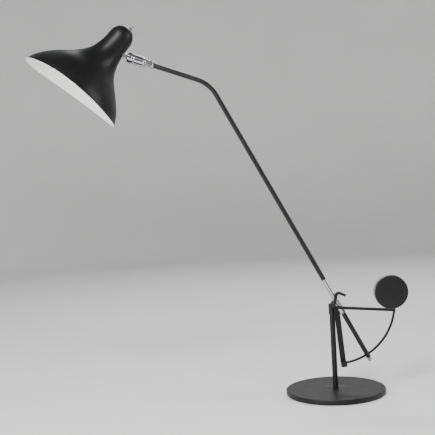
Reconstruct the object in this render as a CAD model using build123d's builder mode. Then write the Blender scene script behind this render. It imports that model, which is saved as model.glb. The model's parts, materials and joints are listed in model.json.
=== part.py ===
from build123d import *
import os
from math import acos, asin, cos, degrees, radians, sin, sqrt

os.makedirs("parts", exist_ok=True)

# Architect desk lamp with a counterweight. Millimetres, +X right, +Y back, +Z up.
# The origin is under the centre of the round base, on the surface that it stands on.
# The arm swings in the plane y = arm_y, and the front of the lamp faces -Y.

# ---------------------------------------------------------------- driving dimensions
base_r = 110.0
pad_t = 1.2
plate_t = 10.0
base_top = pad_t + plate_t

post_r = 6.0
post_recess = 2.0
spigot_r = 4.0
shoulder_z = 176.2
spigot_top_z = 194.2
groove_z = 186.0

collar_r = 7.25
collar_bottom_z = 177.0
collar_top_z = 200.3
collar_bore_top_z = 195.2
bush_wall = 0.95

pivot_x = 4.8
pivot_z = 200.6
pivot_r = 3.0
running_gap = 0.06

boss_r = 5.5
boss_front_y = -8.0
boss_back_y = 7.6

leg_y = -9.05
leg_t = 4.0
leg_w = 12.0
leg_lean = 4.46
leg_offset = 3.2
leg_end_z = 62.3
leg_eye_r = 7.0
foot_h = 11.0

lug_y = -14.15
arm_y = -24.0
arc_r = 130.0
arc_t = 3.6
arc_d = 7.0
bar_y = -30.8
bar_d = 8.0
bar_t = 5.6
bar_slope = 5.36
bar_end_x = 133.0
eye_r = 7.3
hook_root = (5.2, 220.5)
hook_shoulder = (7.2, 230.5)
hook_tip = (26.0, 221.6)
hook_bend_r = 6.5

weight_r = 37.0
weight_t = 14.0
weight_x = 122.1
weight_flat = 0.25

arm_lean = 27.3
arm_offset = 5.87
tube_r = 5.2
tube_wall = 1.0
sleeve_r = 6.2
sleeve_low = -21.9
sleeve_high = 61.3
ring_len = 2.5
ring_r = 6.5
lower_tube_end = -112.0
arm_end_low = -136.5
knob_r = 4.4
knob_len = 8.6
set_screw_marks = (32.0, 52.0)
gland_at = -60.0
gland_bore_r = 2.5

bend_at = 557.9
bend_r = 75.0
head_rise = 20.76
top_tube_len = 127.15

nut_len = 20.0
nut_r = 8.25
coupling_len = 25.2
coupling_r = 10.7
cap_len = 14.6
cap_r = 11.5
ball_r = 7.0
ball_at = 56.6
stud_r = 3.0
stud_slope = 33.0
stud_len = 27.0

shade_wall = 1.2
shade_slope = 39.33
shade_turn = 6.2
rim_x = -548.0
rim_z = 690.9
rim_rise_r = 640.0
rim_trim = 0.3
dome_base = 160.3
dome_r = 27.0
dome_h = 31.0
dome_offset = 13.3
# distance from the rim, radius, and how far the centre has moved towards the arm
bell_rings = [
    (0.0, 118.1, -0.6),
    (25.4, 104.8, -0.6),
    (53.4, 80.8, 0.0),
    (81.5, 51.8, 4.2),
    (107.3, 35.6, 9.5),
    (134.3, 28.9, 12.2),
    (dome_base, dome_r, dome_offset),
]

# ---------------------------------------------------------------- directions and planes
arm_dir = Vector(-sin(radians(arm_lean)), 0, cos(radians(arm_lean)))
arm_side = Vector(cos(radians(arm_lean)), 0, sin(radians(arm_lean)))
bar_dir = Vector(cos(radians(bar_slope)), 0, -sin(radians(bar_slope)))
bar_up = Vector(sin(radians(bar_slope)), 0, cos(radians(bar_slope)))
head_dir = Vector(-cos(radians(head_rise)), 0, sin(radians(head_rise)))
head_up = Vector(sin(radians(head_rise)), 0, cos(radians(head_rise)))
stud_dir = Vector(-cos(radians(stud_slope)), 0, sin(radians(stud_slope)))
stud_up = Vector(sin(radians(stud_slope)), 0, cos(radians(stud_slope)))

pivot = Vector(pivot_x, 0, pivot_z)
arm_foot = Vector(pivot_x, arm_y, pivot_z) + arm_side * arm_offset
bend_corner = arm_foot + arm_dir * bend_at
coupling_start = bend_corner + head_dir * top_tube_len
ball_centre = coupling_start + head_dir * ball_at

# The shade is turned a little about the stud, so that it opens towards the front.
stud_axis = Axis((0, 0, 0), stud_dir)
shade_up = Vector(sin(radians(shade_slope)), 0, cos(radians(shade_slope))).rotate(stud_axis, shade_turn)
shade_side = Vector(cos(radians(shade_slope)), 0, -sin(radians(shade_slope))).rotate(stud_axis, shade_turn)
rim_centre = ball_centre + (Vector(rim_x, arm_y, rim_z) - ball_centre).rotate(stud_axis, shade_turn)
rim_plane = Plane(origin=rim_centre, x_dir=shade_side, z_dir=shade_up)


def side_plane(y):
    """Plane facing the front at depth y. Its own x and y are the lamp's X and Z."""
    return Plane.XZ.offset(-y)


def arm_plane(along):
    """Plane across the straight arm, measured up the arm from the point nearest the pivot."""
    return Plane(origin=arm_foot + arm_dir * along, x_dir=arm_side, z_dir=arm_dir)


def coupling_plane(along):
    """Plane across the head coupling, measured from where the tube enters it."""
    return Plane(origin=coupling_start + head_dir * along, x_dir=head_up, z_dir=head_dir)


def stud_plane(along):
    """Plane across the ball stud, measured from the centre of the ball towards the shade."""
    return Plane(
        origin=ball_centre + stud_dir * along,
        x_dir=stud_up.rotate(stud_axis, shade_turn),
        z_dir=stud_dir,
    )


def flutes(plane, radius, centre_r, count, length):
    """Evenly spaced round bars that cut flutes along a turned part."""
    with BuildSketch(plane) as grooves:
        with PolarLocations(centre_r, count):
            Circle(radius)
    return extrude(grooves.sketch, amount=length, mode=Mode.PRIVATE)


# ---------------------------------------------------------------- base and post
screw_r = 3.0
cbore_r = 6.0
cbore_h = 5.4

with BuildPart() as base_pad:
    with BuildSketch():
        Circle(base_r - 2)
    extrude(amount=pad_t)

with BuildPart() as base_plate:
    with BuildSketch(Plane.XY.offset(pad_t)):
        Circle(base_r)
    extrude(amount=plate_t)
    fillet(base_plate.edges().sort_by(Axis.Z)[-1], radius=1.0)
    chamfer(base_plate.edges().sort_by(Axis.Z)[0], length=0.6)
    with BuildSketch(Plane.XY.offset(pad_t)):
        Circle(screw_r + 0.3)
    extrude(amount=plate_t, mode=Mode.SUBTRACT)
    with BuildSketch(Plane.XY.offset(pad_t)):
        Circle(cbore_r)
    extrude(amount=cbore_h, mode=Mode.SUBTRACT)
    with BuildSketch(Plane.XY.offset(base_top)):
        Circle(post_r + 0.05)
    extrude(amount=-post_recess, mode=Mode.SUBTRACT)

with BuildPart() as post:
    with BuildSketch(Plane.XY.offset(base_top - post_recess)):
        Circle(post_r)
    extrude(amount=shoulder_z - base_top + post_recess)
    with BuildSketch(Plane.XY.offset(shoulder_z)):
        Circle(spigot_r)
    extrude(amount=spigot_top_z - shoulder_z)
    chamfer(post.edges().sort_by(Axis.Z)[-1], length=0.6)
    with BuildSketch(Plane.XY.offset(groove_z - 1.7)):
        Circle(spigot_r + 0.5)
        Circle(spigot_r - 0.75, mode=Mode.SUBTRACT)
    extrude(amount=3.4, mode=Mode.SUBTRACT)
    with BuildSketch(Plane.XY.offset(base_top - post_recess)):
        Circle(screw_r + 0.05)
    extrude(amount=17, mode=Mode.SUBTRACT)

with BuildPart() as post_screw:
    with BuildSketch(Plane.XY.offset(pad_t + 0.4)):
        Circle(5.0)
    extrude(amount=cbore_h - 0.4)
    with BuildSketch(Plane.XY.offset(pad_t + cbore_h)):
        Circle(screw_r)
    extrude(amount=18)
    with BuildSketch(Plane.XY.offset(pad_t + 0.4)):
        RegularPolygon(radius=2.5, side_count=6, major_radius=False)
    extrude(amount=3.0, mode=Mode.SUBTRACT)

# ---------------------------------------------------------------- swivel collar
bush_bore_r = spigot_r + running_gap
bush_r = bush_bore_r + bush_wall

with BuildPart() as swivel_bush:
    with BuildSketch(Plane.XY.offset(shoulder_z + 0.05)):
        Circle(6.6)
    extrude(amount=collar_bottom_z - shoulder_z - 0.1)
    with BuildSketch(Plane.XY.offset(collar_bottom_z - 0.05)):
        Circle(bush_r)
    extrude(amount=collar_bore_top_z - collar_bottom_z - 0.3)
    with BuildSketch(Plane.XY.offset(shoulder_z)):
        Circle(bush_bore_r)
    extrude(amount=25, mode=Mode.SUBTRACT)
    with BuildSketch(side_plane(collar_r)):
        with Locations((0, groove_z)):
            Circle(2.05)
    extrude(amount=collar_r, mode=Mode.SUBTRACT)

with BuildPart() as collar:
    with BuildSketch(Plane.XY.offset(collar_bottom_z)):
        Circle(collar_r)
    extrude(amount=collar_top_z - collar_bottom_z)
    chamfer(collar.edges().filter_by(GeomType.CIRCLE), length=0.5)
    with BuildSketch(side_plane(boss_back_y)):
        with Locations((pivot_x, pivot_z)):
            Circle(boss_r)
    extrude(amount=boss_back_y - boss_front_y)
    with BuildSketch(Plane.XY.offset(collar_bottom_z)):
        Circle(bush_r + 0.04)
    extrude(amount=collar_bore_top_z - collar_bottom_z, mode=Mode.SUBTRACT)
    with BuildSketch(side_plane(boss_back_y)):
        with Locations((pivot_x, pivot_z)):
            Circle(pivot_r + running_gap)
    extrude(amount=boss_back_y - boss_front_y, mode=Mode.SUBTRACT)
    with BuildSketch(side_plane(collar_r)):
        with Locations((0, groove_z)):
            Circle(2.0)
    extrude(amount=collar_r, mode=Mode.SUBTRACT)

with BuildPart() as collar_set_screw:
    with BuildSketch(side_plane(collar_r - 0.3)):
        with Locations((0, groove_z)):
            Circle(1.95)
    extrude(amount=1.6)
    with BuildSketch(side_plane(collar_r - 1.9)):
        with Locations((0, groove_z)):
            Circle(1.35)
    extrude(amount=1.9)
    with BuildSketch(side_plane(collar_r - 0.3)):
        with Locations((0, groove_z)):
            RegularPolygon(radius=1.0, side_count=6, major_radius=False)
    extrude(amount=1.2, mode=Mode.SUBTRACT)

# ---------------------------------------------------------------- pivot screw and washers
washer_t = 0.75
screw_head_y = boss_back_y + 1.1
lug_thread_end = -18.8

with BuildPart() as pivot_washers:
    for back_y in (leg_y + 0.05 + washer_t, leg_y - leg_t - 0.05):
        with BuildSketch(side_plane(back_y)):
            with Locations((pivot_x, pivot_z)):
                Circle(6.0)
                Circle(pivot_r + running_gap, mode=Mode.SUBTRACT)
        extrude(amount=washer_t)

with BuildPart() as pivot_screw:
    with BuildSketch(side_plane(screw_head_y + 3.6)):
        with Locations((pivot_x, pivot_z)):
            Circle(5.0)
    extrude(amount=3.6)
    chamfer(pivot_screw.edges(), length=0.3)
    with BuildSketch(side_plane(screw_head_y)):
        with Locations((pivot_x, pivot_z)):
            Circle(pivot_r)
    extrude(amount=screw_head_y - lug_y)
    with BuildSketch(side_plane(lug_y)):
        with Locations((pivot_x, pivot_z)):
            Circle(2.45)
    extrude(amount=lug_y - lug_thread_end)
    with BuildSketch(side_plane(screw_head_y + 3.6)):
        with Locations((pivot_x, pivot_z)):
            RegularPolygon(radius=2.0, side_count=6, major_radius=False)
    extrude(amount=2.4, mode=Mode.SUBTRACT)

with BuildPart() as pivot_spring_washer:
    with BuildSketch(side_plane(screw_head_y - 0.05)):
        with Locations((pivot_x, pivot_z)):
            Circle(4.8)
            Circle(pivot_r + running_gap, mode=Mode.SUBTRACT)
    extrude(amount=0.75)

# ---------------------------------------------------------------- frame
leg_dir = Vector(sin(radians(leg_lean)), 0, -cos(radians(leg_lean)))
leg_right = Vector(cos(radians(leg_lean)), 0, sin(radians(leg_lean)))
leg_len = (pivot_z - leg_end_z) / cos(radians(leg_lean))
leg_top = Vector(pivot_x, 0, pivot_z) + leg_right * leg_offset
leg_mid = leg_top + leg_dir * (leg_len / 2)
foot_mid = leg_top + leg_dir * (leg_len - foot_h / 2)
arc_front_y = arm_y - arc_d / 2
arc_back_y = arm_y + arc_d / 2
foot_screw_marks = [foot_mid + leg_right * side for side in (-2.8, 2.8)]

with BuildPart() as leg:
    with BuildSketch(side_plane(leg_y)):
        with Locations((leg_mid.X, leg_mid.Z)):
            Rectangle(leg_w, leg_len, rotation=leg_lean)
        with Locations((pivot_x, pivot_z)):
            Circle(leg_eye_r)
            Circle(pivot_r + running_gap, mode=Mode.SUBTRACT)
    extrude(amount=leg_t)
    for mark in foot_screw_marks:
        with BuildSketch(side_plane(leg_y)):
            with Locations((mark.X, mark.Z)):
                Circle(1.55)
        extrude(amount=leg_t, mode=Mode.SUBTRACT)
        with BuildSketch(side_plane(leg_y)):
            with Locations((mark.X, mark.Z)):
                Circle(2.55)
        extrude(amount=1.8, mode=Mode.SUBTRACT)

with BuildPart() as leg_foot:
    with BuildSketch(side_plane(leg_y - leg_t)):
        with Locations((foot_mid.X, foot_mid.Z)):
            Rectangle(leg_w, foot_h, rotation=leg_lean)
    extrude(amount=leg_y - leg_t - arc_front_y)
    chamfer(leg_foot.faces().sort_by(Axis.Y)[0].edges(), length=0.5)
    for mark in foot_screw_marks:
        with BuildSketch(side_plane(leg_y - leg_t)):
            with Locations((mark.X, mark.Z)):
                Circle(1.5)
        extrude(amount=7, mode=Mode.SUBTRACT)

with BuildPart() as foot_screws:
    for mark in foot_screw_marks:
        with BuildSketch(side_plane(leg_y - 0.1)):
            with Locations((mark.X, mark.Z)):
                Circle(2.5)
        extrude(amount=1.7)
        with BuildSketch(side_plane(leg_y - 1.8)):
            with Locations((mark.X, mark.Z)):
                Circle(1.45)
        extrude(amount=8.5)

# The bar's centre line leaves the eye at its lowest point and runs down to the right.
eye_line_r = eye_r - bar_t / 2
eye_low = pivot - bar_up * eye_line_r
bar_len = (bar_end_x - eye_low.X) / cos(radians(bar_slope))
bar_end = eye_low + bar_dir * bar_len
root_gap = Vector(hook_root[0] - pivot_x, 0, hook_root[1] - pivot_z)
tangent_turn = degrees(acos(eye_line_r / root_gap.length))
eye_left_angle = degrees(acos(root_gap.X / root_gap.length)) + tangent_turn
eye_sweep = 270 - bar_slope - eye_left_angle
eye_left = (
    pivot_x + eye_line_r * cos(radians(eye_left_angle)),
    pivot_z + eye_line_r * sin(radians(eye_left_angle)),
)
block_w = 15.5
block_mid = bar_end + bar_dir * (2.2 - block_w / 2)
corner_marks = [block_mid + bar_dir * side for side in (0.5, 4.7)]

with BuildPart() as bar_hook:
    with BuildSketch(side_plane(bar_y)):
        with BuildLine():
            Line((bar_end.X, bar_end.Z), (eye_low.X, eye_low.Z))
            CenterArc((pivot_x, pivot_z), eye_line_r, eye_left_angle, eye_sweep)
            FilletPolyline(eye_left, hook_root, hook_shoulder, hook_tip, radius=(9.0, hook_bend_r))
        trace(line_width=bar_t)
    extrude(amount=bar_d)
    weight_hole = eye_low + bar_dir * ((weight_x - eye_low.X) / cos(radians(bar_slope)))
    weight_hole_plane = Plane(
        origin=weight_hole + Vector(0, bar_y - bar_d / 2, 0) - bar_up * (bar_t / 2),
        x_dir=bar_dir,
        z_dir=bar_up,
    )
    with BuildSketch(weight_hole_plane):
        Circle(2.1)
    extrude(amount=bar_t, mode=Mode.SUBTRACT)
    with BuildSketch(weight_hole_plane):
        Circle(3.4)
    extrude(amount=1.9, mode=Mode.SUBTRACT)
    for mark in corner_marks:
        with BuildSketch(side_plane(bar_y)):
            with Locations((mark.X, mark.Z)):
                Circle(1.05)
        extrude(amount=6, mode=Mode.SUBTRACT)

with BuildPart() as corner_block:
    with BuildSketch(side_plane(arc_back_y)):
        with Locations((block_mid.X, block_mid.Z)):
            Rectangle(block_w, bar_t, rotation=-bar_slope)
    extrude(amount=arc_back_y - bar_y)
    for mark in corner_marks:
        with BuildSketch(side_plane(arc_back_y)):
            with Locations((mark.X, mark.Z)):
                Circle(1.05)
        extrude(amount=arc_back_y - bar_y, mode=Mode.SUBTRACT)

with BuildPart() as corner_screws:
    for mark in corner_marks:
        with BuildSketch(side_plane(arc_back_y + 1.4)):
            with Locations((mark.X, mark.Z)):
                Circle(1.9)
        extrude(amount=1.4)
        with BuildSketch(side_plane(arc_back_y)):
            with Locations((mark.X, mark.Z)):
                Circle(1.0)
        extrude(amount=arc_back_y - bar_y + 5.5)

with BuildPart() as arc_strip:
    with BuildSketch(side_plane(arc_back_y)):
        with Locations((pivot_x, pivot_z)):
            Circle(arc_r + arc_t / 2)
            Circle(arc_r - arc_t / 2, mode=Mode.SUBTRACT)
        with Locations((pivot_x + arc_r, pivot_z - arc_r)):
            Rectangle(2 * arc_r, 2 * arc_r, mode=Mode.INTERSECT)
        with Locations((block_mid.X, block_mid.Z)):
            Rectangle(60, 60, rotation=-bar_slope, align=(Align.CENTER, Align.MIN), mode=Mode.SUBTRACT)
            Rectangle(60, bar_t, rotation=-bar_slope, mode=Mode.SUBTRACT)
        with Locations((foot_mid.X, foot_mid.Z)):
            Rectangle(60, 60, rotation=leg_lean, align=(Align.MAX, Align.CENTER), mode=Mode.SUBTRACT)
            Rectangle(leg_w, 60, rotation=leg_lean, mode=Mode.SUBTRACT)
    extrude(amount=arc_d)

# ---------------------------------------------------------------- counterweight
weight_centre = weight_hole + bar_up * (bar_t / 2 + weight_r - weight_flat)
weight_plane = Plane(origin=weight_hole_plane.origin + bar_up * bar_t, x_dir=bar_dir, z_dir=bar_up)

with BuildPart() as counterweight:
    with BuildSketch(side_plane(bar_y - bar_d / 2 + weight_t / 2)):
        with Locations((weight_centre.X, weight_centre.Z)):
            Circle(weight_r)
    extrude(amount=weight_t)
    chamfer(counterweight.edges().filter_by(GeomType.CIRCLE), length=0.8)
    with BuildSketch(weight_plane):
        Rectangle(40, 40)
    extrude(amount=-3, mode=Mode.SUBTRACT)
    with BuildSketch(weight_plane):
        Circle(2.05)
    extrude(amount=14, mode=Mode.SUBTRACT)

with BuildPart() as weight_screw:
    with BuildSketch(weight_hole_plane.offset(0.1)):
        Circle(3.3)
    extrude(amount=1.8)
    with BuildSketch(weight_hole_plane.offset(1.9)):
        Circle(2.0)
    extrude(amount=bar_t - 1.9 + 12)
    with BuildSketch(weight_hole_plane.offset(0.1)):
        RegularPolygon(radius=1.2, side_count=6, major_radius=False)
    extrude(amount=1.2, mode=Mode.SUBTRACT)

# ---------------------------------------------------------------- arm
tube_bore_r = tube_r - tube_wall
sleeve_bore_r = tube_r + 0.05

with BuildPart() as sleeve:
    with BuildSketch(arm_plane(sleeve_low)):
        Circle(sleeve_r)
        Circle(sleeve_bore_r, mode=Mode.SUBTRACT)
    extrude(amount=sleeve_high - sleeve_low)
    chamfer(sleeve.edges().filter_by(GeomType.CIRCLE).group_by(SortBy.RADIUS)[-1], length=0.3)
    for along in set_screw_marks:
        with BuildSketch(Plane(origin=arm_plane(along).origin, x_dir=arm_dir, z_dir=(0, 1, 0))):
            Circle(1.5)
        extrude(amount=sleeve_r + 1, mode=Mode.SUBTRACT)

with BuildPart() as sleeve_set_screws:
    for along in set_screw_marks:
        with BuildSketch(Plane(origin=arm_plane(along).origin, x_dir=arm_dir, z_dir=(0, 1, 0)).offset(5.3)):
            Circle(1.45)
        extrude(amount=1.0)

with BuildPart() as sleeve_ring:
    with BuildSketch(arm_plane(sleeve_low - ring_len)):
        Circle(ring_r)
        Circle(sleeve_bore_r, mode=Mode.SUBTRACT)
    extrude(amount=ring_len)
    chamfer(sleeve_ring.edges().filter_by(GeomType.CIRCLE).group_by(SortBy.RADIUS)[-1], length=0.6)

with BuildPart() as arm_lug:
    with BuildSketch(side_plane(lug_y)):
        with Locations((pivot_x, pivot_z)):
            Circle(6.2)
        with Locations((arm_foot.X, arm_foot.Z)):
            Rectangle(9.0, 26.0, rotation=arm_lean)
        with Locations((pivot_x, pivot_z)):
            Circle(2.5, mode=Mode.SUBTRACT)
    extrude(amount=6.0)
    with BuildSketch(arm_plane(-40)):
        Circle(sleeve_r)
    extrude(amount=80, mode=Mode.SUBTRACT)

with BuildPart() as lower_tube:
    with BuildSketch(arm_plane(lower_tube_end)):
        Circle(tube_r)
        Circle(tube_bore_r, mode=Mode.SUBTRACT)
    extrude(amount=-lower_tube_end - 1)
    with BuildSketch(Plane(origin=arm_plane(gland_at).origin, x_dir=arm_dir, z_dir=(0, 1, 0))):
        Circle(3.3)
    extrude(amount=tube_r + 1, mode=Mode.SUBTRACT)

with BuildPart() as cable_gland:
    with BuildSketch(Plane(origin=arm_plane(gland_at).origin, x_dir=arm_dir, z_dir=(0, 1, 0)).offset(3.6)):
        Circle(3.25)
        Circle(gland_bore_r, mode=Mode.SUBTRACT)
    extrude(amount=6.4)
    with BuildSketch(Plane(origin=arm_plane(gland_at).origin, x_dir=arm_dir, z_dir=(0, 1, 0)).offset(5.3)):
        Circle(4.3)
        Circle(gland_bore_r, mode=Mode.SUBTRACT)
    extrude(amount=2.0)

with BuildPart() as upper_tube:
    with BuildLine():
        FilletPolyline(
            arm_foot + arm_dir * 1.0,
            bend_corner,
            coupling_start + head_dir * 13.9,
            radius=bend_r,
        )
    with BuildSketch(arm_plane(1.0)):
        Circle(tube_r)
        Circle(tube_bore_r, mode=Mode.SUBTRACT)
    sweep()

slot_gap = 0.35
with BuildPart() as arm_end:
    with BuildSketch(arm_plane(arm_end_low)):
        Circle(tube_r)
    extrude(amount=lower_tube_end - arm_end_low)
    chamfer(arm_end.edges().filter_by(GeomType.CIRCLE).sort_by(Axis.Z)[0], length=0.5)
    with BuildSketch(arm_plane(lower_tube_end)):
        Circle(tube_bore_r - 0.03)
    extrude(amount=12)
    with BuildSketch(side_plane(arc_back_y + slot_gap)):
        with Locations((pivot_x, pivot_z)):
            Circle(arc_r + arc_t / 2 + slot_gap)
            Circle(arc_r - arc_t / 2 - slot_gap, mode=Mode.SUBTRACT)
    extrude(amount=arc_d + 2 * slot_gap, mode=Mode.SUBTRACT)
    with BuildSketch(arm_plane(arm_end_low)):
        Circle(2.08)
    extrude(amount=6, mode=Mode.SUBTRACT)

clamp_tip = -sqrt((arc_r + arc_t / 2) ** 2 - arm_offset**2) - 0.45
with BuildPart() as clamp_screw:
    with BuildSketch(arm_plane(clamp_tip)):
        Circle(2.0)
    extrude(amount=arm_end_low - 0.4 - clamp_tip)
    with BuildSketch(arm_plane(arm_end_low - 0.35)):
        Circle(knob_r)
    extrude(amount=-knob_len)
    chamfer(clamp_screw.edges().filter_by(GeomType.CIRCLE).group_by(SortBy.RADIUS)[-1], length=0.7)
    with BuildSketch(arm_plane(arm_end_low - 1.6)):
        with PolarLocations(knob_r + 0.35, 16):
            Circle(0.7)
    extrude(amount=-knob_len + 2.5, mode=Mode.SUBTRACT)

# ---------------------------------------------------------------- head coupling
coupling_low = nut_len + 0.3
cap_low = nut_len + coupling_len + 0.3
cap_high = cap_low + cap_len
spigot_out_r = 8.4

with BuildPart() as tube_nut:
    with BuildSketch(coupling_plane(0)):
        Circle(nut_r)
    extrude(amount=nut_len)
    chamfer(tube_nut.edges().filter_by(GeomType.CIRCLE), length=0.8)
    with BuildSketch(coupling_plane(0)):
        Circle(tube_r + 0.05)
    extrude(amount=14, mode=Mode.SUBTRACT)
    with BuildSketch(coupling_plane(14)):
        Circle(4.25)
    extrude(amount=8, mode=Mode.SUBTRACT)
    add(flutes(coupling_plane(2.0), 1.1, nut_r + 0.45, 14, nut_len - 4), mode=Mode.SUBTRACT)

with BuildPart() as arm_stem:
    with BuildSketch(coupling_plane(-12)):
        Circle(tube_bore_r - 0.03)
    extrude(amount=50)
    with BuildSketch(coupling_plane(-12)):
        Circle(2.4)
    extrude(amount=50, mode=Mode.SUBTRACT)

with BuildPart() as swivel_nut:
    with BuildSketch(coupling_plane(33.3)):
        Circle(6.4)
        Circle(tube_bore_r, mode=Mode.SUBTRACT)
    extrude(amount=3.6)

with BuildPart() as coupling_body:
    with BuildSketch(coupling_plane(coupling_low)):
        Circle(coupling_r)
    extrude(amount=cap_low - 0.05 - coupling_low)
    chamfer(coupling_body.edges().filter_by(GeomType.CIRCLE), length=0.7)
    with BuildSketch(coupling_plane(cap_low - 0.05)):
        Circle(spigot_out_r)
    extrude(amount=3.5)
    with BuildSketch(coupling_plane(coupling_low)):
        Circle(tube_bore_r + running_gap)
    extrude(amount=40, mode=Mode.SUBTRACT)
    with BuildSketch(coupling_plane(33.0)):
        Circle(7.0)
    extrude(amount=20, mode=Mode.SUBTRACT)
    add(flutes(coupling_plane(coupling_low + 2.4), 1.9, coupling_r + 0.75, 8, coupling_len - 5), mode=Mode.SUBTRACT)

with BuildPart() as ball_seat:
    with BuildSketch(coupling_plane(cap_low + 3.6)):
        Circle(spigot_out_r - 0.05)
        Circle(4.0, mode=Mode.SUBTRACT)
    extrude(amount=2.6)
    with Locations(Plane(origin=ball_centre, z_dir=head_dir)):
        Sphere(ball_r + 0.08, mode=Mode.SUBTRACT)

with BuildPart() as socket_cap:
    with BuildSketch(coupling_plane(cap_low)):
        Circle(cap_r)
    extrude(amount=cap_len)
    fillet(socket_cap.edges().filter_by(GeomType.CIRCLE).sort_by(Axis.X)[0], radius=2.6)
    chamfer(socket_cap.edges().filter_by(GeomType.CIRCLE).sort_by(Axis.X)[-1], length=0.7)
    add(flutes(coupling_plane(cap_low + 4.0), 2.0, cap_r + 0.5, 6, cap_len), mode=Mode.SUBTRACT)
    with BuildSketch(coupling_plane(cap_low)):
        Circle(spigot_out_r + 0.03)
    extrude(amount=6.3, mode=Mode.SUBTRACT)
    with BuildSketch(coupling_plane(cap_low)):
        Circle(ball_r + 0.1)
    extrude(amount=ball_at - cap_low, mode=Mode.SUBTRACT)
    with Locations(Plane(origin=ball_centre, z_dir=head_dir)):
        Sphere(ball_r + 0.1, mode=Mode.SUBTRACT)

# ---------------------------------------------------------------- ball stud
locknut_at = 8.6
seat_at = 12.4
ear_at = 18.6
ear_t = 2.0

with BuildPart() as ball_stud:
    with Locations(Plane(origin=ball_centre, z_dir=stud_dir)):
        Sphere(ball_r)
    with BuildSketch(stud_plane(0)):
        Circle(stud_r)
    extrude(amount=stud_len)
    with BuildSketch(stud_plane(-ball_r - 1)):
        Circle(1.8)
    extrude(amount=stud_len + ball_r + 2, mode=Mode.SUBTRACT)

with BuildPart() as stud_locknut:
    with BuildSketch(stud_plane(locknut_at)):
        RegularPolygon(radius=5.0, side_count=6, major_radius=False)
        Circle(stud_r + 0.02, mode=Mode.SUBTRACT)
    extrude(amount=2.4)

with BuildPart() as stud_spring_washer:
    with BuildSketch(stud_plane(ear_at + ear_t + 0.3)):
        Circle(4.8)
        Circle(stud_r + 0.05, mode=Mode.SUBTRACT)
    extrude(amount=0.8)

with BuildPart() as stud_nut:
    with BuildSketch(stud_plane(ear_at + ear_t + 1.15)):
        RegularPolygon(radius=4.6, side_count=6, major_radius=False)
        Circle(stud_r + 0.02, mode=Mode.SUBTRACT)
    extrude(amount=3.4)

# ---------------------------------------------------------------- shade


def bell_form(wall):
    """Solid inside the shade's outer skin, drawn in by a wall thickness."""
    with BuildPart() as form:
        for index, (along, radius, shift) in enumerate(bell_rings):
            before = bell_rings[max(index - 1, 0)]
            after = bell_rings[min(index + 1, len(bell_rings) - 1)]
            flare = (after[1] - before[1]) / (after[0] - before[0])
            with BuildSketch(rim_plane.offset(along)):
                with Locations((shift, 0)):
                    Circle(radius - wall * sqrt(1 + flare**2))
        loft()
        axis_origin = rim_centre + shade_up * dome_base + shade_side * dome_offset
        dome_plane = Plane(origin=axis_origin, x_dir=shade_side, z_dir=shade_up.cross(shade_side) * -1)
        dome_width = dome_r - wall * sqrt(1 + flare**2)
        with BuildSketch(dome_plane):
            with BuildLine():
                Line((0, 0), (dome_width, 0))
                EllipticalCenterArc((0, 0), dome_width, dome_h - wall, start_angle=0, arc_size=90)
                Line((0, dome_h - wall), (0, 0))
            make_face()
        revolve(axis=Axis(axis_origin, shade_up))
    return form.part


outer_form = bell_form(0)
inner_form = bell_form(shade_wall)
seat_form = bell_form(-running_gap)
bracket_form = bell_form(shade_wall + 0.1)
stud_hole_r = stud_r + running_gap
switch_lean = 11.25
switch_dir = shade_up * cos(radians(switch_lean)) + shade_side * sin(radians(switch_lean))
switch_right = shade_side * cos(radians(switch_lean)) - shade_up * sin(radians(switch_lean))
switch_centre = rim_centre + shade_side * 17.6 + shade_up * 191.1


def switch_plane(height):
    """Plane across the toggle switch, measured out of the dome from its skin."""
    return Plane(origin=switch_centre + switch_dir * height, x_dir=switch_right, z_dir=switch_dir)


with BuildPart() as shade:
    add(outer_form)
    add(inner_form, mode=Mode.SUBTRACT)
    with BuildSketch(Plane(origin=rim_centre + shade_up * (rim_rise_r + rim_trim), x_dir=shade_up, z_dir=shade_side)):
        Circle(rim_rise_r)
    extrude(amount=150, both=True, mode=Mode.INTERSECT)
    with BuildSketch(stud_plane(8)):
        Circle(stud_hole_r)
    extrude(amount=14, mode=Mode.SUBTRACT)
    with BuildSketch(switch_plane(-6)):
        Circle(3.05)
    extrude(amount=10, mode=Mode.SUBTRACT)

with BuildPart() as shade_seat:
    with BuildSketch(stud_plane(seat_at)):
        Circle(6.6)
    extrude(amount=8)
    chamfer(shade_seat.edges().filter_by(GeomType.CIRCLE).sort_by(Axis.X)[-1], length=0.6)
    add(seat_form, mode=Mode.SUBTRACT)
    with BuildSketch(stud_plane(seat_at)):
        Circle(stud_hole_r)
    extrude(amount=8, mode=Mode.SUBTRACT)

# ---------------------------------------------------------------- lampholder and lamp
holder_r = 13.5
holder_low = 141.3
holder_high = 171.3
bulb_r = 22.5
bulb_at = 107.8
bulb_glass_t = 0.8
bulb_neck_r = 8.2
cap_thread_r = 7.0


def lamp_plane(along):
    """Plane across the lamp's own axis in the dome, measured up from the rim."""
    return Plane(
        origin=rim_centre + shade_up * along + shade_side * dome_offset,
        x_dir=shade_side,
        z_dir=shade_up,
    )


with BuildPart() as lamp_holder:
    with BuildSketch(lamp_plane(holder_low)):
        Circle(holder_r)
    extrude(amount=holder_high - holder_low)
    chamfer(lamp_holder.edges().filter_by(GeomType.CIRCLE), length=1.0)
    with BuildSketch(lamp_plane(holder_low)):
        Circle(cap_thread_r + 1.4)
    extrude(amount=22, mode=Mode.SUBTRACT)

with BuildPart() as holder_contact:
    with BuildSketch(lamp_plane(162.3)):
        Circle(3.0)
    extrude(amount=0.95)

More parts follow.
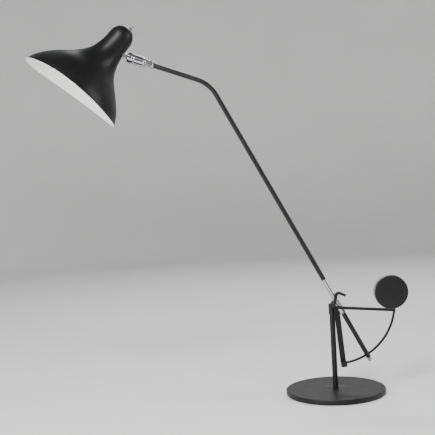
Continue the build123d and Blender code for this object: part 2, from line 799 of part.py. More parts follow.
with BuildPart() as holder_bracket:
    with BuildSketch(lamp_plane(144.3)):
        Circle(holder_r + 1.6)
    extrude(amount=7.0)
    with BuildSketch(stud_plane(15.0)):
        with Locations((2.5, 0)):
            Rectangle(17.0, 11.0)
    extrude(amount=ear_at + ear_t - 15.0)
    with BuildSketch(stud_plane(15.0)):
        with Locations((9.8, 0)):
            Rectangle(2.4, 11.0)
    extrude(amount=14.6)
    add(bracket_form, mode=Mode.INTERSECT)
    with BuildSketch(lamp_plane(133.3)):
        Circle(holder_r + 0.05)
    extrude(amount=40, mode=Mode.SUBTRACT)
    with BuildSketch(stud_plane(10)):
        Circle(stud_hole_r)
    extrude(amount=15, mode=Mode.SUBTRACT)

with BuildPart() as bulb_cap:
    with BuildSketch(lamp_plane(135.8)):
        Circle(bulb_neck_r - bulb_glass_t - 0.05)
        Circle(bulb_neck_r - bulb_glass_t - 0.9, mode=Mode.SUBTRACT)
    extrude(amount=2.6)
    with BuildSketch(lamp_plane(138.3)):
        Circle(cap_thread_r)
    extrude(amount=23.8)
    for turn in range(5):
        with BuildSketch(lamp_plane(142.3 + 3.0 * turn)):
            Circle(cap_thread_r + 1)
            Circle(cap_thread_r - 0.55, mode=Mode.SUBTRACT)
        extrude(amount=1.3, mode=Mode.SUBTRACT)

# The glass is an open shell of revolution: a globe that runs into a short neck.
neck_top = 138.1
neck_angle = degrees(asin(bulb_neck_r / bulb_r))
neck_inner_r = bulb_neck_r - bulb_glass_t
glass_inner_r = bulb_r - bulb_glass_t
inner_neck_angle = degrees(asin(neck_inner_r / glass_inner_r))
glass_centre = rim_centre + shade_up * bulb_at + shade_side * dome_offset
glass_plane = Plane(origin=glass_centre, x_dir=shade_side, z_dir=shade_up.cross(shade_side) * -1)

with BuildPart() as bulb_glass:
    with BuildSketch(glass_plane):
        with BuildLine():
            CenterArc((0, 0), bulb_r, -90, 180 - neck_angle)
            Line((bulb_neck_r, sqrt(bulb_r**2 - bulb_neck_r**2)), (bulb_neck_r, neck_top - bulb_at))
            Line((bulb_neck_r, neck_top - bulb_at), (neck_inner_r, neck_top - bulb_at))
            Line((neck_inner_r, neck_top - bulb_at), (neck_inner_r, sqrt(glass_inner_r**2 - neck_inner_r**2)))
            CenterArc((0, 0), glass_inner_r, -90, 180 - inner_neck_angle)
            Line((0, -bulb_r), (0, -glass_inner_r))
        make_face()
    revolve(axis=Axis(glass_centre, shade_up))

# ---------------------------------------------------------------- toggle switch
with BuildPart() as switch_body:
    with BuildSketch(switch_plane(-14.5)):
        Rectangle(11.0, 8.0)
    extrude(amount=10.5)
    with BuildSketch(switch_plane(-4.0)):
        Circle(3.0)
    extrude(amount=7.6)
    with BuildSketch(switch_plane(-2.5)):
        Circle(2.15)
    extrude(amount=8, mode=Mode.SUBTRACT)

with BuildPart() as switch_nut:
    with BuildSketch(switch_plane(0.35)):
        Circle(4.6)
    extrude(amount=2.0)
    chamfer(switch_nut.edges().filter_by(GeomType.CIRCLE), length=0.3)
    with BuildSketch(switch_plane(-1)):
        Circle(3.02)
    extrude(amount=5, mode=Mode.SUBTRACT)
    add(flutes(switch_plane(0.0), 0.5, 4.85, 18, 4), mode=Mode.SUBTRACT)

lever_lean = 10.0
lever_pivot = switch_centre + switch_dir * 0.6
lever_dir = switch_dir * cos(radians(lever_lean)) + switch_right * sin(radians(lever_lean))
lever_plane = Plane(origin=lever_pivot, z_dir=lever_dir)
with BuildPart() as toggle_lever:
    with Locations(lever_plane):
        Sphere(1.6)
    with BuildSketch(lever_plane):
        Circle(0.95)
    extrude(amount=8.2)
    with Locations(lever_plane.offset(8.4)):
        Sphere(1.6)

# ---------------------------------------------------------------- write every piece
pieces = {
    "base_pad": base_pad,
    "base_plate": base_plate,
    "post": post,
    "post_screw": post_screw,
    "collar": collar,
    "swivel_bush": swivel_bush,
    "collar_set_screw": collar_set_screw,
    "pivot_washers": pivot_washers,
    "pivot_screw": pivot_screw,
    "pivot_spring_washer": pivot_spring_washer,
    "leg": leg,
    "leg_foot": leg_foot,
    "foot_screws": foot_screws,
    "arc_strip": arc_strip,
    "bar_hook": bar_hook,
    "corner_block": corner_block,
    "corner_screws": corner_screws,
    "counterweight": counterweight,
    "weight_screw": weight_screw,
    "sleeve": sleeve,
    "sleeve_ring": sleeve_ring,
    "sleeve_set_screws": sleeve_set_screws,
    "arm_lug": arm_lug,
    "lower_tube": lower_tube,
    "cable_gland": cable_gland,
    "upper_tube": upper_tube,
    "arm_end": arm_end,
    "clamp_screw": clamp_screw,
    "tube_nut": tube_nut,
    "arm_stem": arm_stem,
    "swivel_nut": swivel_nut,
    "coupling_body": coupling_body,
    "ball_seat": ball_seat,
    "socket_cap": socket_cap,
    "ball_stud": ball_stud,
    "stud_locknut": stud_locknut,
    "stud_spring_washer": stud_spring_washer,
    "stud_nut": stud_nut,
    "shade": shade,
    "shade_seat": shade_seat,
    "holder_bracket": holder_bracket,
    "lamp_holder": lamp_holder,
    "holder_contact": holder_contact,
    "bulb_cap": bulb_cap,
    "bulb_glass": bulb_glass,
    "switch_body": switch_body,
    "switch_nut": switch_nut,
    "toggle_lever": toggle_lever,
}
for name, piece in pieces.items():
    piece.part.label = name
    export_step(piece.part, f"parts/{name}.step")
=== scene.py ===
import json
from math import cos, pi, radians, sin, sqrt

import bmesh
import bpy
from mathutils import Matrix, Vector


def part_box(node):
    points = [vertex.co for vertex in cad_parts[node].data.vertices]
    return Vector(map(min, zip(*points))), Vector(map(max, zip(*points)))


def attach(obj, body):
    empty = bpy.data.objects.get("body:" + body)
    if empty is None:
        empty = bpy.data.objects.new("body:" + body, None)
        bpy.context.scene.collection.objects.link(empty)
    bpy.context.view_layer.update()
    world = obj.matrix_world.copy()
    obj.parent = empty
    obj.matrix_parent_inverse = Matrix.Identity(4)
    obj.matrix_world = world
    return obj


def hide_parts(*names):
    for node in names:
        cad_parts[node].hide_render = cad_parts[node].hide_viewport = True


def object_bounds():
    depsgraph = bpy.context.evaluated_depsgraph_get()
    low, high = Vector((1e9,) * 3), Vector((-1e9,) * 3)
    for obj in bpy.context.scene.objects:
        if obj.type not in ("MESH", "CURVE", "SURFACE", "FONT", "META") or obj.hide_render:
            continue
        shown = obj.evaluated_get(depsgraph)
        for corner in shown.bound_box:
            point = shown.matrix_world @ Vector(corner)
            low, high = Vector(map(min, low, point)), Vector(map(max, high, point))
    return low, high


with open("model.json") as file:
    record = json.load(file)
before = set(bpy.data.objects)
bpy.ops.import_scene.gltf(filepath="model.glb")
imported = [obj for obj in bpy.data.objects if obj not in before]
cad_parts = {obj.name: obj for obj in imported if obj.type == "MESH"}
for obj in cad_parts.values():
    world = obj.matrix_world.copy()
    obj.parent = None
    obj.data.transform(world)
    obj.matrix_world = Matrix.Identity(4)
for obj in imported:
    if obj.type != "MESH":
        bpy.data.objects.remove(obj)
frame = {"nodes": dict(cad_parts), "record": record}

# Architect desk lamp. Metres, in the CAD frame: +X right, +Y back, +Z up, floor at z = 0.

MM = 0.001
cad_lo, cad_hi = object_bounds()
joints = {joint["name"]: joint for joint in frame["record"]["behaviour"]["joints"]}


# ---------------------------------------------------------------- node helpers
class Look:
    """A material's node tree, with short calls for the nodes that the finishes share."""

    def __init__(self, name, colour, roughness, metallic=0.0):
        self.material = bpy.data.materials.new(name)
        self.material.use_nodes = True
        self.material.diffuse_color = (*colour, 1)
        self.tree = self.material.node_tree
        self.shader = self.tree.nodes["Principled BSDF"]
        self.shader.inputs["Base Color"].default_value = (*colour, 1)
        self.shader.inputs["Roughness"].default_value = roughness
        self.shader.inputs["Metallic"].default_value = metallic
        self.place = self.tree.nodes.new("ShaderNodeTexCoord").outputs["Object"]
        self.last_bump = None

    def node(self, kind, **settings):
        made = self.tree.nodes.new(kind)
        for key, value in settings.items():
            setattr(made, key, value)
        return made

    def link(self, start, end):
        self.tree.links.new(start, end)

    def moved(self, offset=(0, 0, 0), scale=(1, 1, 1)):
        """The object's own coordinates, moved and stretched."""
        mapping = self.node("ShaderNodeMapping")
        mapping.inputs["Location"].default_value = offset
        mapping.inputs["Scale"].default_value = scale
        self.link(self.place, mapping.inputs["Vector"])
        return mapping.outputs["Vector"]

    def noise(self, size, detail=3.0, place=None):
        """Noise whose features are about size metres across."""
        made = self.node("ShaderNodeTexNoise")
        made.inputs["Scale"].default_value = 1 / size
        made.inputs["Detail"].default_value = detail
        self.link(place or self.place, made.inputs["Vector"])
        return made.outputs["Fac"]

    def between(self, value, low, high, start=0.3, end=0.7):
        """A value from low to high as the input goes from start to end."""
        made = self.node("ShaderNodeMapRange")
        made.inputs["From Min"].default_value = start
        made.inputs["From Max"].default_value = end
        made.inputs["To Min"].default_value = low
        made.inputs["To Max"].default_value = high
        self.link(value, made.inputs["Value"])
        return made.outputs["Result"]

    def colours(self, value, first, second, start=0.3, end=0.7):
        """Base colour from first to second as the input goes from start to end."""
        ramp = self.node("ShaderNodeValToRGB")
        ramp.color_ramp.elements[0].position = start
        ramp.color_ramp.elements[1].position = end
        ramp.color_ramp.elements[0].color = (*first, 1)
        ramp.color_ramp.elements[1].color = (*second, 1)
        self.link(value, ramp.inputs["Fac"])
        self.link(ramp.outputs["Color"], self.shader.inputs["Base Color"])

    def rough(self, value, low, high):
        """Roughness from low to high with the input."""
        self.link(self.between(value, low, high), self.shader.inputs["Roughness"])

    def bump(self, height, depth):
        """Relief depth metres deep, laid over any relief before it."""
        made = self.node("ShaderNodeBump")
        made.inputs["Distance"].default_value = depth
        self.link(height, made.inputs["Height"])
        if self.last_bump:
            self.link(self.last_bump, made.inputs["Normal"])
        self.last_bump = made.outputs["Normal"]
        self.link(self.last_bump, self.shader.inputs["Normal"])


# ---------------------------------------------------------------- finishes
def paint(name, tone, roughness, grain, depth, coat=0.0):
    """Black stoved paint: fine orange peel, faint dust and patches of a different gloss."""
    look = Look(name, (tone, tone, tone * 1.03), roughness)
    peel = look.noise(grain, 2.0)
    broad = look.noise(0.035, 4.0)
    fine = look.noise(0.0006, 2.0)
    dusty = (tone * 1.4, tone * 1.4, tone * 1.42)
    look.colours(broad, (tone * 0.85, tone * 0.85, tone * 0.88), dusty, 0.35, 0.8)
    look.rough(broad, roughness - 0.04, roughness + 0.05)
    look.bump(peel, depth)
    look.bump(fine, depth * 0.25)
    look.shader.inputs["Specular IOR Level"].default_value = 0.25
    look.shader.inputs["Coat Weight"].default_value = coat
    look.shader.inputs["Coat Roughness"].default_value = 0.2
    return look


def white_enamel(name):
    """The white inside of the shade."""
    look = Look(name, (0.91, 0.91, 0.9), 0.42)
    look.colours(look.noise(0.05, 3.0), (0.89, 0.89, 0.88), (0.93, 0.93, 0.92))
    look.rough(look.noise(0.02, 3.0), 0.36, 0.5)
    look.bump(look.noise(0.0012, 2.0), 0.00003)
    return look


def metal(name, colour, roughness, spread, grain, stretch):
    """Bare or plated metal with fine tool lines and smears in its gloss."""
    look = Look(name, colour, roughness, 1.0)
    lines = look.noise(grain, 3.0, look.moved(scale=stretch))
    smear = look.noise(0.008, 4.0)
    darker = tuple(part * 0.86 for part in colour)
    look.colours(smear, darker, colour, 0.25, 0.6)
    look.rough(lines, roughness - spread, roughness + spread)
    look.bump(lines, 0.000012)
    return look


def plastic(name, colour, roughness):
    """Moulded plastic with a fine grain and faint uneven gloss."""
    look = Look(name, colour, roughness)
    paler = tuple(min(1.0, part * 1.12 + 0.004) for part in colour)
    look.colours(look.noise(0.012, 3.0), colour, paler)
    look.rough(look.noise(0.004, 2.0), roughness - 0.07, roughness + 0.07)
    look.bump(look.noise(0.0004, 2.0), 0.00002)
    return look


def opal(name):
    """The lamp's milky glass, which scatters light below a clear skin."""
    look = plastic(name, (0.88, 0.87, 0.84), 0.22)
    look.shader.inputs["Subsurface Weight"].default_value = 0.35
    look.shader.inputs["Subsurface Radius"].default_value = (0.012, 0.01, 0.008)
    look.shader.inputs["Coat Weight"].default_value = 0.6
    look.shader.inputs["Coat Roughness"].default_value = 0.05
    return look


def turned_weight(name):
    """Painted cast weight: turning rings on its faces show through the paint."""
    look = paint(name, 0.009, 0.42, 0.0014, 0.00002)
    low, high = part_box("counterweight")
    centre = (low + high) / 2
    rings = look.node("ShaderNodeTexWave", wave_type="RINGS", rings_direction="Y")
    rings.inputs["Scale"].default_value = 260
    rings.inputs["Distortion"].default_value = 0.4
    look.link(look.moved(offset=tuple(-part for part in centre)), rings.inputs["Vector"])
    look.bump(rings.outputs["Fac"], 0.000006)
    return look


def rubber(name):
    """The foot pad's foamed rubber, with small cells."""
    look = plastic(name, (0.02, 0.02, 0.02), 0.8)
    cells = look.node("ShaderNodeTexVoronoi")
    cells.inputs["Scale"].default_value = 700
    look.link(look.place, cells.inputs["Vector"])
    look.bump(cells.outputs["Distance"], 0.0001)
    return look


# paint: tone, roughness, size of the orange peel, its depth, clear coat
# metal: colour, roughness, its spread, size of the tool lines, their stretch
finishes = {
    "black_powder": paint("black_powder_coat", 0.006, 0.42, 0.0011, 0.00004),
    "black_tube": paint("black_tube_paint", 0.006, 0.32, 0.0022, 0.00001, 0.15),
    "shade_black": paint("shade_outer_paint", 0.004, 0.4, 0.0013, 0.00003),
    "black_weight": turned_weight("weight_paint"),
    "chrome": metal("chrome_plate", (0.48, 0.48, 0.5), 0.12, 0.04, 0.002, (1, 1, 8)),
    "dark_chrome": metal("dark_chrome_plate", (0.13, 0.13, 0.14), 0.2, 0.05, 0.002, (1, 1, 8)),
    "zinc_steel": metal("zinc_plated_steel", (0.58, 0.58, 0.56), 0.36, 0.09, 0.0012, (1, 6, 1)),
    "brass": metal("brass", (0.72, 0.53, 0.25), 0.3, 0.08, 0.0015, (1, 6, 1)),
    "white_nylon": plastic("white_nylon", (0.78, 0.77, 0.72), 0.55),
    "black_plastic": plastic("black_plastic", (0.022, 0.022, 0.022), 0.45),
    "white_plastic": plastic("white_plastic", (0.76, 0.755, 0.73), 0.4),
    "opal_glass": opal("opal_glass"),
    "rubber_pad": rubber("rubber_pad"),
}
inner_white = white_enamel("shade_inner_enamel")
# near-black look laid on the coupling's slot faces as painted shade
slot_shade_paint = plastic("slot_painted_shade", (0.008, 0.008, 0.009), 0.5)
weight_rim = metal("weight_rim_satin", (0.3, 0.3, 0.31), 0.36, 0.08, 0.0012, (1, 6, 1))

for subpart in frame["record"]["subparts"]:
    cad = frame["nodes"][subpart["node"]]
    cad.data.materials.clear()
    cad.data.materials.append(finishes[subpart["material_slot"]].material)


# ---------------------------------------------------------------- mesh helpers
def add_mesh(name, points, faces, looks, face_look=None):
    """A smooth mesh with its faces turned outwards. face_look picks each face's look by number."""
    mesh = bpy.data.meshes.new(name)
    mesh.from_pydata(points, [], faces)
    for look in looks:
        mesh.materials.append(look.material)
    if face_look:
        mesh.polygons.foreach_set("material_index", face_look)
    mesh.polygons.foreach_set("use_smooth", [True] * len(faces))
    made = bpy.data.objects.new(name, mesh)
    bpy.context.scene.collection.objects.link(made)
    work = bmesh.new()
    work.from_mesh(mesh)
    bmesh.ops.recalc_face_normals(work, faces=work.faces)
    work.to_mesh(mesh)
    work.free()
    return made


def lathe(name, profile, origin, axis, across, looks, around=160, which=None, reshape=None):
    """Turns a closed profile of (distance along the axis, radius) points about an axis.

    which picks a face's look from its row and its turn, and reshape moves a point in or out."""
    axis, across = Vector(axis).normalized(), Vector(across).normalized()
    third = axis.cross(across)
    points = []
    for along, radius in profile:
        for step in range(around):
            turn = 2 * pi * step / around
            out = reshape(along, radius, turn) if reshape else radius
            outward = across * cos(turn) + third * sin(turn)
            points.append(Vector(origin) + axis * along + outward * out)
    faces, materials = [], []
    rows = len(profile)
    for row in range(rows):
        for step in range(around):
            after, below = (step + 1) % around, (row + 1) % rows
            faces.append((row * around + step, row * around + after,
                          below * around + after, below * around + step))
            materials.append(which(row, (step + 0.5) * 2 * pi / around) if which else 0)
    return add_mesh(name, points, faces, looks, materials)


def rounded(along, radius, start, corner, steps=6):
    """Points round the outer corner of a turned part, from the angle start over a quarter turn."""
    turns = [start + pi / 2 * step / steps for step in range(steps + 1)]
    return [(along + corner * sin(turn), radius + corner * cos(turn)) for turn in turns]


# ---------------------------------------------------------------- base and counterweight
def make_base():
    """The round base plate with its rounded edge and the bore for the post."""
    low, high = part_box("base_plate")
    outer, corner, bevel = (high.x - low.x) / 2, 1.6 * MM, 0.3 * MM
    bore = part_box("post")[1].x + 0.05 * MM
    centre = Vector(((low.x + high.x) / 2, (low.y + high.y) / 2, low.z))
    height = high.z - low.z
    profile = [(0, bore), (0, outer * 0.5)]
    profile += rounded(corner * 0.5, outer - corner * 0.5, -pi / 2, corner * 0.5)
    profile += rounded(height - corner, outer - corner, 0, corner)
    profile += [(height, outer * part) for part in (0.9, 0.6, 0.3)]
    profile += [(height, bore + bevel), (height - bevel, bore)]
    made = lathe("base_disc", profile, centre, (0, 0, 1), (1, 0, 0),
                 [finishes["black_powder"]], around=256)
    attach(made, "base")
    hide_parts("base_plate")


def make_counterweight():
    """The round weight that stands on the bar, with a bare rim and a small flat below."""
    low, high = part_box("counterweight")
    outer, corner, thick = (high.x - low.x) / 2, 1.1 * MM, high.y - low.y
    centre = Vector(((low.x + high.x) / 2, low.y, high.z - outer))
    face_radii = (0.05 * MM, 0.5 * MM, outer * 0.7)
    first = rounded(corner, outer - corner, -pi / 2, corner)
    last = rounded(thick - corner, outer - corner, 0, corner)
    profile = [(0, radius) for radius in face_radii] + first + last
    profile += [(thick, radius) for radius in reversed(face_radii)]
    # the paint on the faces runs a little way round each corner, and the rest of the rim is bare
    rim_start = len(face_radii) + 2
    rim_end = len(face_radii) + len(first) + len(last) - 3

    def rim_or_face(row, _turn):
        return 1 if rim_start <= row < rim_end else 0

    made = lathe("counterweight_disc", profile, centre, (0, 1, 0), (1, 0, 0),
                 [finishes["black_weight"], weight_rim], around=192, which=rim_or_face)
    for vertex in made.data.vertices:
        vertex.co.z = max(vertex.co.z, low.z)
    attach(made, "frame")
    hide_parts("counterweight")


# ---------------------------------------------------------------- head coupling
# Three turned parts in line along the tube's end, each with milled slots whose faces are coloured
# near black as painted shade.
nut_len, nut_r = 20.0 * MM, 8.25 * MM
body_low, body_len, body_r = 20.3 * MM, 25.15 * MM, 10.7 * MM
cap_low, cap_len, cap_r = 45.5 * MM, 14.6 * MM, 11.5 * MM
ball_at, ball_clear_r, cap_bore_r = 56.6 * MM, 7.1 * MM, 8.43 * MM
head_dir = Vector(joints["head_swivel"]["axis"])
coupling_start = Vector(joints["head_tilt"]["pos_m"]) - head_dir * ball_at


def make_slotted(name, node, body, origin, profile, count, width, depth, start, end):
    """A turned sleeve with count rounded slots milled along it from start to end."""
    outer = max(radius for _, radius in profile)
    edge = 0.35 * MM  # the width over which a slot's side falls to its full depth
    steps_a_slot = 24 if count > 6 else 32

    def slot_depth(along, turn):
        pitch = 2 * pi / count
        across = outer * ((turn + pitch / 2) % pitch - pitch / 2)
        past = max(start + width / 2 - along, along - (end - width / 2), 0)
        inside = width / 2 - sqrt(across**2 + past**2)
        return depth * min(max(inside / edge, 0), 1)

    def reshape(along, radius, turn):
        if radius < outer - depth:
            return radius
        return min(radius, outer - slot_depth(along, turn))

    # faces deep in a slot take the near-black painted shade, the rest take the chrome
    def which(row, turn):
        along = (profile[row][0] + profile[(row + 1) % len(profile)][0]) / 2
        on_outside = min(profile[row][1], profile[(row + 1) % len(profile)][1]) > outer - depth
        return 1 if on_outside and slot_depth(along, turn) > depth * 0.6 else 0

    made = lathe(name, profile, origin, head_dir, (0, 1, 0), [finishes["chrome"], slot_shade_paint],
                 around=count * steps_a_slot, which=which, reshape=reshape)
    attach(made, body)
    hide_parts(node)


def run(start, end, radius, step=0.5 * MM):
    """Closely spaced points along a straight outside, so that the slots' ends come out round."""
    count = max(2, round(abs(end - start) / step))
    return [(start + (end - start) * index / count, radius) for index in range(count + 1)]


def make_coupling():
    """Tube nut, coupling body and socket cap, in order from the tube's end to the ball."""
    bevel = 0.7 * MM
    tube_r, stem_r = 5.25 * MM, 4.26 * MM
    tube_depth = 14 * MM
    spigot_len, spigot_r = 3.5 * MM, 8.4 * MM
    pocket_low, pocket_r = 12.7 * MM, 7 * MM
    seat_low = 6.3 * MM
    nut = [(0, tube_r), (0, nut_r - bevel), *run(bevel, nut_len - bevel, nut_r),
           (nut_len, nut_r - bevel), (nut_len, stem_r), (tube_depth, stem_r), (tube_depth, tube_r)]
    make_slotted("tube_nut_turned", "tube_nut", "arm", coupling_start, nut, count=14,
                 width=2.0 * MM, depth=0.7 * MM, start=2.0 * MM, end=nut_len - 2.0 * MM)

    body = [(0, stem_r), (0, body_r - bevel), *run(bevel, body_len - bevel, body_r),
            (body_len, body_r - bevel), (body_len, spigot_r), (body_len + spigot_len, spigot_r),
            (body_len + spigot_len, pocket_r), (pocket_low, pocket_r), (pocket_low, stem_r)]
    make_slotted("coupling_body_turned", "coupling_body", "coupling",
                 coupling_start + head_dir * body_low, body, count=8,
                 width=3.6 * MM, depth=1.1 * MM, start=2.4 * MM, end=body_len - 2.4 * MM)

    corner = 2.6 * MM
    centre = ball_at - cap_low
    mouth = cap_len - centre
    cap = [(0, cap_bore_r), (0, cap_r - bevel), *run(bevel, cap_len - corner, cap_r)]
    cap += rounded(cap_len - corner, cap_r - corner, 0, corner, 8)[1:]
    for part in (1, 0.6, 0.3, 0):
        cap.append((centre + mouth * part, sqrt(ball_clear_r**2 - (mouth * part) ** 2)))
    cap += [(seat_low, ball_clear_r), (seat_low, cap_bore_r)]
    # the cap's slots run out through its rounded end, which leaves fingers
    make_slotted("socket_cap_turned", "socket_cap", "coupling",
                 coupling_start + head_dir * cap_low, cap, count=6,
                 width=4.0 * MM, depth=1.3 * MM, start=4.0 * MM, end=cap_len + 3 * MM)


# ---------------------------------------------------------------- shade
# The spun bell is black outside and white inside. It stands on the ball stud, so its place is
# measured from the ball, and shade_turn is its turn about the stud.
shade_slope = radians(39.33)
shade_turn = radians(6.2)
shade_wall = 1.2 * MM
rim_from_ball = Vector((-130.316, 0, -73.282)) * MM
dome_h = 31.0 * MM
# the rim is trimmed along an arc of this radius, which takes at least rim_trim off the bell
rim_rise_r = 640.0 * MM
rim_trim = 0.3 * MM
# distance from the rim, radius, and how far the centre has moved towards the arm, in millimetres
bell_rings = [
    (0.0, 118.1, -0.6),
    (25.4, 104.8, -0.6),
    (53.4, 80.8, 0.0),
    (81.5, 51.8, 4.2),
    (107.3, 35.6, 9.5),
    (134.3, 28.9, 12.2),
    (160.3, 27.0, 13.3),
]
dome_base, dome_r, dome_shift = (part * MM for part in bell_rings[-1])
ball = Vector(joints["head_tilt"]["pos_m"])
stud_turn = Matrix.Rotation(shade_turn, 3, Vector(joints["head_spin"]["axis"]))
shade_up = stud_turn @ Vector((sin(shade_slope), 0, cos(shade_slope)))
shade_side = stud_turn @ Vector((cos(shade_slope), 0, -sin(shade_slope)))
shade_back = shade_up.cross(shade_side)
rim_centre = ball + stud_turn @ rim_from_ball


def bell_at(along):
    """Radius, centre shift and flare of the bell at a distance from the rim, on a smooth curve."""
    rows = [tuple(part * MM for part in row) for row in bell_rings]
    before_rim = tuple(2 * rows[0][k] - rows[1][k] for k in range(3))
    past_dome = (2 * rows[-1][0] - rows[-2][0], rows[-2][1], rows[-2][2])
    rows = [before_rim, *rows, past_dome]
    index = 1
    while index < len(rows) - 3 and along > rows[index + 1][0]:
        index += 1
    a, b, c, d = rows[index - 1 : index + 3]
    span = c[0] - b[0]
    t = min(max((along - b[0]) / span, 0), 1)

    def tangents(k):
        return (c[k] - a[k]) / (c[0] - a[0]) * span, (d[k] - b[k]) / (d[0] - b[0]) * span

    def value(k):
        out, into = tangents(k)
        return (
            (2 * t**3 - 3 * t**2 + 1) * b[k]
            + (t**3 - 2 * t**2 + t) * out
            + (3 * t**2 - 2 * t**3) * c[k]
            + (t**3 - t**2) * into
        )

    def slope(k):
        out, into = tangents(k)
        return (
            (6 * t**2 - 6 * t) * b[k]
            + (3 * t**2 - 4 * t + 1) * out
            + (6 * t - 6 * t**2) * c[k]
            + (3 * t**2 - 2 * t) * into
        ) / span

    return value(1), value(2), slope(1)


def shade_point(along, turn, wall):
    """A point of the bell's outer surface, or of its inner one when given the wall."""
    radius, shift, flare = bell_at(along)
    radius -= wall * sqrt(1 + flare**2)
    across, depth = shift + radius * cos(turn), radius * sin(turn)
    return rim_centre + shade_up * along + shade_side * across + shade_back * depth


def rim_height(turn, wall):
    """How far the trimmed rim stands above the end of the bell, at one place round it."""
    height = 0.0
    for _ in range(8):
        radius, _shift, flare = bell_at(height)
        depth = (radius - wall * sqrt(1 + flare**2)) * sin(turn)
        height = rim_trim + rim_rise_r - sqrt(rim_rise_r**2 - depth**2)
    return height


def dome_point(lift, turn, wall):
    """A point on the round end, lift going from 0 at its base to a quarter turn at its top."""
    flare = bell_at(dome_base)[2]
    radius = (dome_r - wall * sqrt(1 + flare**2)) * cos(lift)
    rise = (dome_h - wall) * sin(lift)
    across = dome_shift + radius * cos(turn)
    depth = radius * sin(turn)
    return rim_centre + shade_up * (dome_base + rise) + shade_side * across + shade_back * depth


def make_shade():
    """One closed shell: dome and bell outside, round the lip, then bell and dome inside."""
    around, bell_rows, dome_rows, lip_rows = 192, 72, 20, 5
    turns = [2 * pi * step / around for step in range(around)]
    rings = []
    for step in range(dome_rows - 1, 0, -1):
        lift = pi / 2 * step / dome_rows
        rings.append(("out", [dome_point(lift, turn, 0) for turn in turns]))
    for step in range(bell_rows, -1, -1):
        rows = []
        for turn in turns:
            low = rim_height(turn, 0)
            rows.append(shade_point(low + (dome_base - low) * step / bell_rows, turn, 0))
        rings.append(("out", rows))
    for step in range(1, lip_rows):
        part = pi * step / lip_rows
        rows = []
        for turn in turns:
            outer = shade_point(rim_height(turn, 0), turn, 0)
            inner = shade_point(rim_height(turn, shade_wall), turn, shade_wall)
            middle, half = (outer + inner) / 2, (outer - inner) / 2
            rows.append(middle + half * cos(part) - shade_up * half.length * 0.6 * sin(part))
        rings.append(("in", rows))
    for step in range(bell_rows + 1):
        rows = []
        for turn in turns:
            low = rim_height(turn, shade_wall)
            rows.append(shade_point(low + (dome_base - low) * step / bell_rows, turn, shade_wall))
        rings.append(("in", rows))
    for step in range(1, dome_rows):
        lift = pi / 2 * step / dome_rows
        rings.append(("in", [dome_point(lift, turn, shade_wall) for turn in turns]))
    points = [point for _, rows in rings for point in rows]
    faces, which = [], []
    for row in range(len(rings) - 1):
        for step in range(around):
            after = (step + 1) % around
            faces.append((row * around + step, row * around + after,
                          (row + 1) * around + after, (row + 1) * around + step))
            which.append(0 if rings[row + 1][0] == "out" else 1)
    for row, top, material in ((0, dome_point(pi / 2, 0, 0), 0),
                               (len(rings) - 1, dome_point(pi / 2, 0, shade_wall), 1)):
        points.append(top)
        for step in range(around):
            faces.append((row * around + step, row * around + (step + 1) % around, len(points) - 1))
            which.append(material)
    return add_mesh("shade_bell", points, faces, [finishes["shade_black"], inner_white], which)


make_base()
make_counterweight()
make_coupling()
shade = make_shade()
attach(shade, "head")
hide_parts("shade")

# ---------------------------------------------------------------- floor and light
floor_r, sweep_r, wall_top = 3.6, 1.2, 4.2
floor_gap = 0.0002


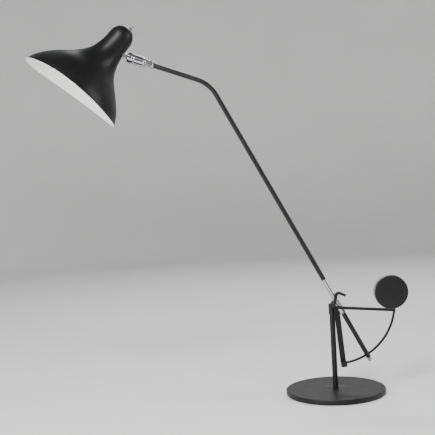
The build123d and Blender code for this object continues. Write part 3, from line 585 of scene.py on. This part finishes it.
def make_floor():
    """A round pale floor that sweeps up into a wall all round."""
    around, curve_steps = 96, 16
    profile = [(0.02, 0), (1.2, 0), (floor_r, 0)]
    for step in range(1, curve_steps + 1):
        part = pi / 2 * step / curve_steps
        profile.append((floor_r + sweep_r * sin(part), sweep_r * (1 - cos(part))))
    profile.append((floor_r + sweep_r, wall_top))
    points = []
    for radius, height in profile:
        for step in range(around):
            turn = 2 * pi * step / around
            points.append((radius * cos(turn), radius * sin(turn), height - floor_gap))
    faces = [tuple(range(around))]
    for row in range(len(profile) - 1):
        for step in range(around):
            after = (step + 1) % around
            faces.append((row * around + step, row * around + after,
                          (row + 1) * around + after, (row + 1) * around + step))
    look = Look("studio_floor", (0.76, 0.76, 0.75), 0.6)
    look.colours(look.noise(0.5, 3.0), (0.745, 0.745, 0.735), (0.78, 0.78, 0.77))
    look.rough(look.noise(0.2, 3.0), 0.55, 0.68)
    return add_mesh("floor", points, faces, [look])


make_floor()


def softbox(name, place, aim, width, height, power):
    """A soft white light of width by height metres and power watts, turned towards aim."""
    light = bpy.data.lights.new(name, "AREA")
    light.shape = "RECTANGLE"
    light.size, light.size_y = width, height
    light.energy = power
    lamp = bpy.data.objects.new(name, light)
    lamp.location = place
    lamp.rotation_mode = "QUATERNION"
    lamp.rotation_quaternion = (Vector(aim) - Vector(place)).to_track_quat("-Z", "Y")
    bpy.context.scene.collection.objects.link(lamp)


middle = (cad_lo + cad_hi) / 2
shade_mouth = (-0.5, 0, 0.66)
softbox("key", (-0.9, -2.0, 2.1), middle, 0.8, 1.3, 100)
softbox("side_strip", (2.3, -0.3, 1.3), middle, 0.35, 1.8, 26)
softbox("back", (0.2, 2.2, 2.4), middle, 1.8, 0.7, 44)
softbox("low_fill", (-2.1, -1.9, 0.75), shade_mouth, 1.3, 0.7, 50)

world = bpy.data.worlds.new("studio")
world.use_nodes = True
world.node_tree.nodes["Background"].inputs["Color"].default_value = (0.93, 0.95, 1, 1)
world.node_tree.nodes["Background"].inputs["Strength"].default_value = 0.22
bpy.context.scene.world = world

# ---------------------------------------------------------------- camera
# it looks along +Y from the front, tipped and rolled by a few degrees
camera_place = Vector((-0.2439, -1.7689, 0.4586))
camera_pitch = radians(-1.72)
camera_roll = radians(-3.04)

ahead = Vector((0, cos(camera_pitch), sin(camera_pitch)))
level_right = Vector((1, 0, 0))
level_up = level_right.cross(ahead)
right = level_right * cos(camera_roll) + level_up * sin(camera_roll)
up = level_up * cos(camera_roll) - level_right * sin(camera_roll)
camera = bpy.data.objects.new("camera", bpy.data.cameras.new("camera"))
camera.data.lens = 65.9
camera.data.sensor_width = 36
camera.data.clip_start = 0.05
camera_turn = Matrix((right, up, -ahead)).transposed().to_4x4()
camera.matrix_world = Matrix.Translation(camera_place) @ camera_turn
bpy.context.scene.collection.objects.link(camera)
bpy.context.scene.camera = camera
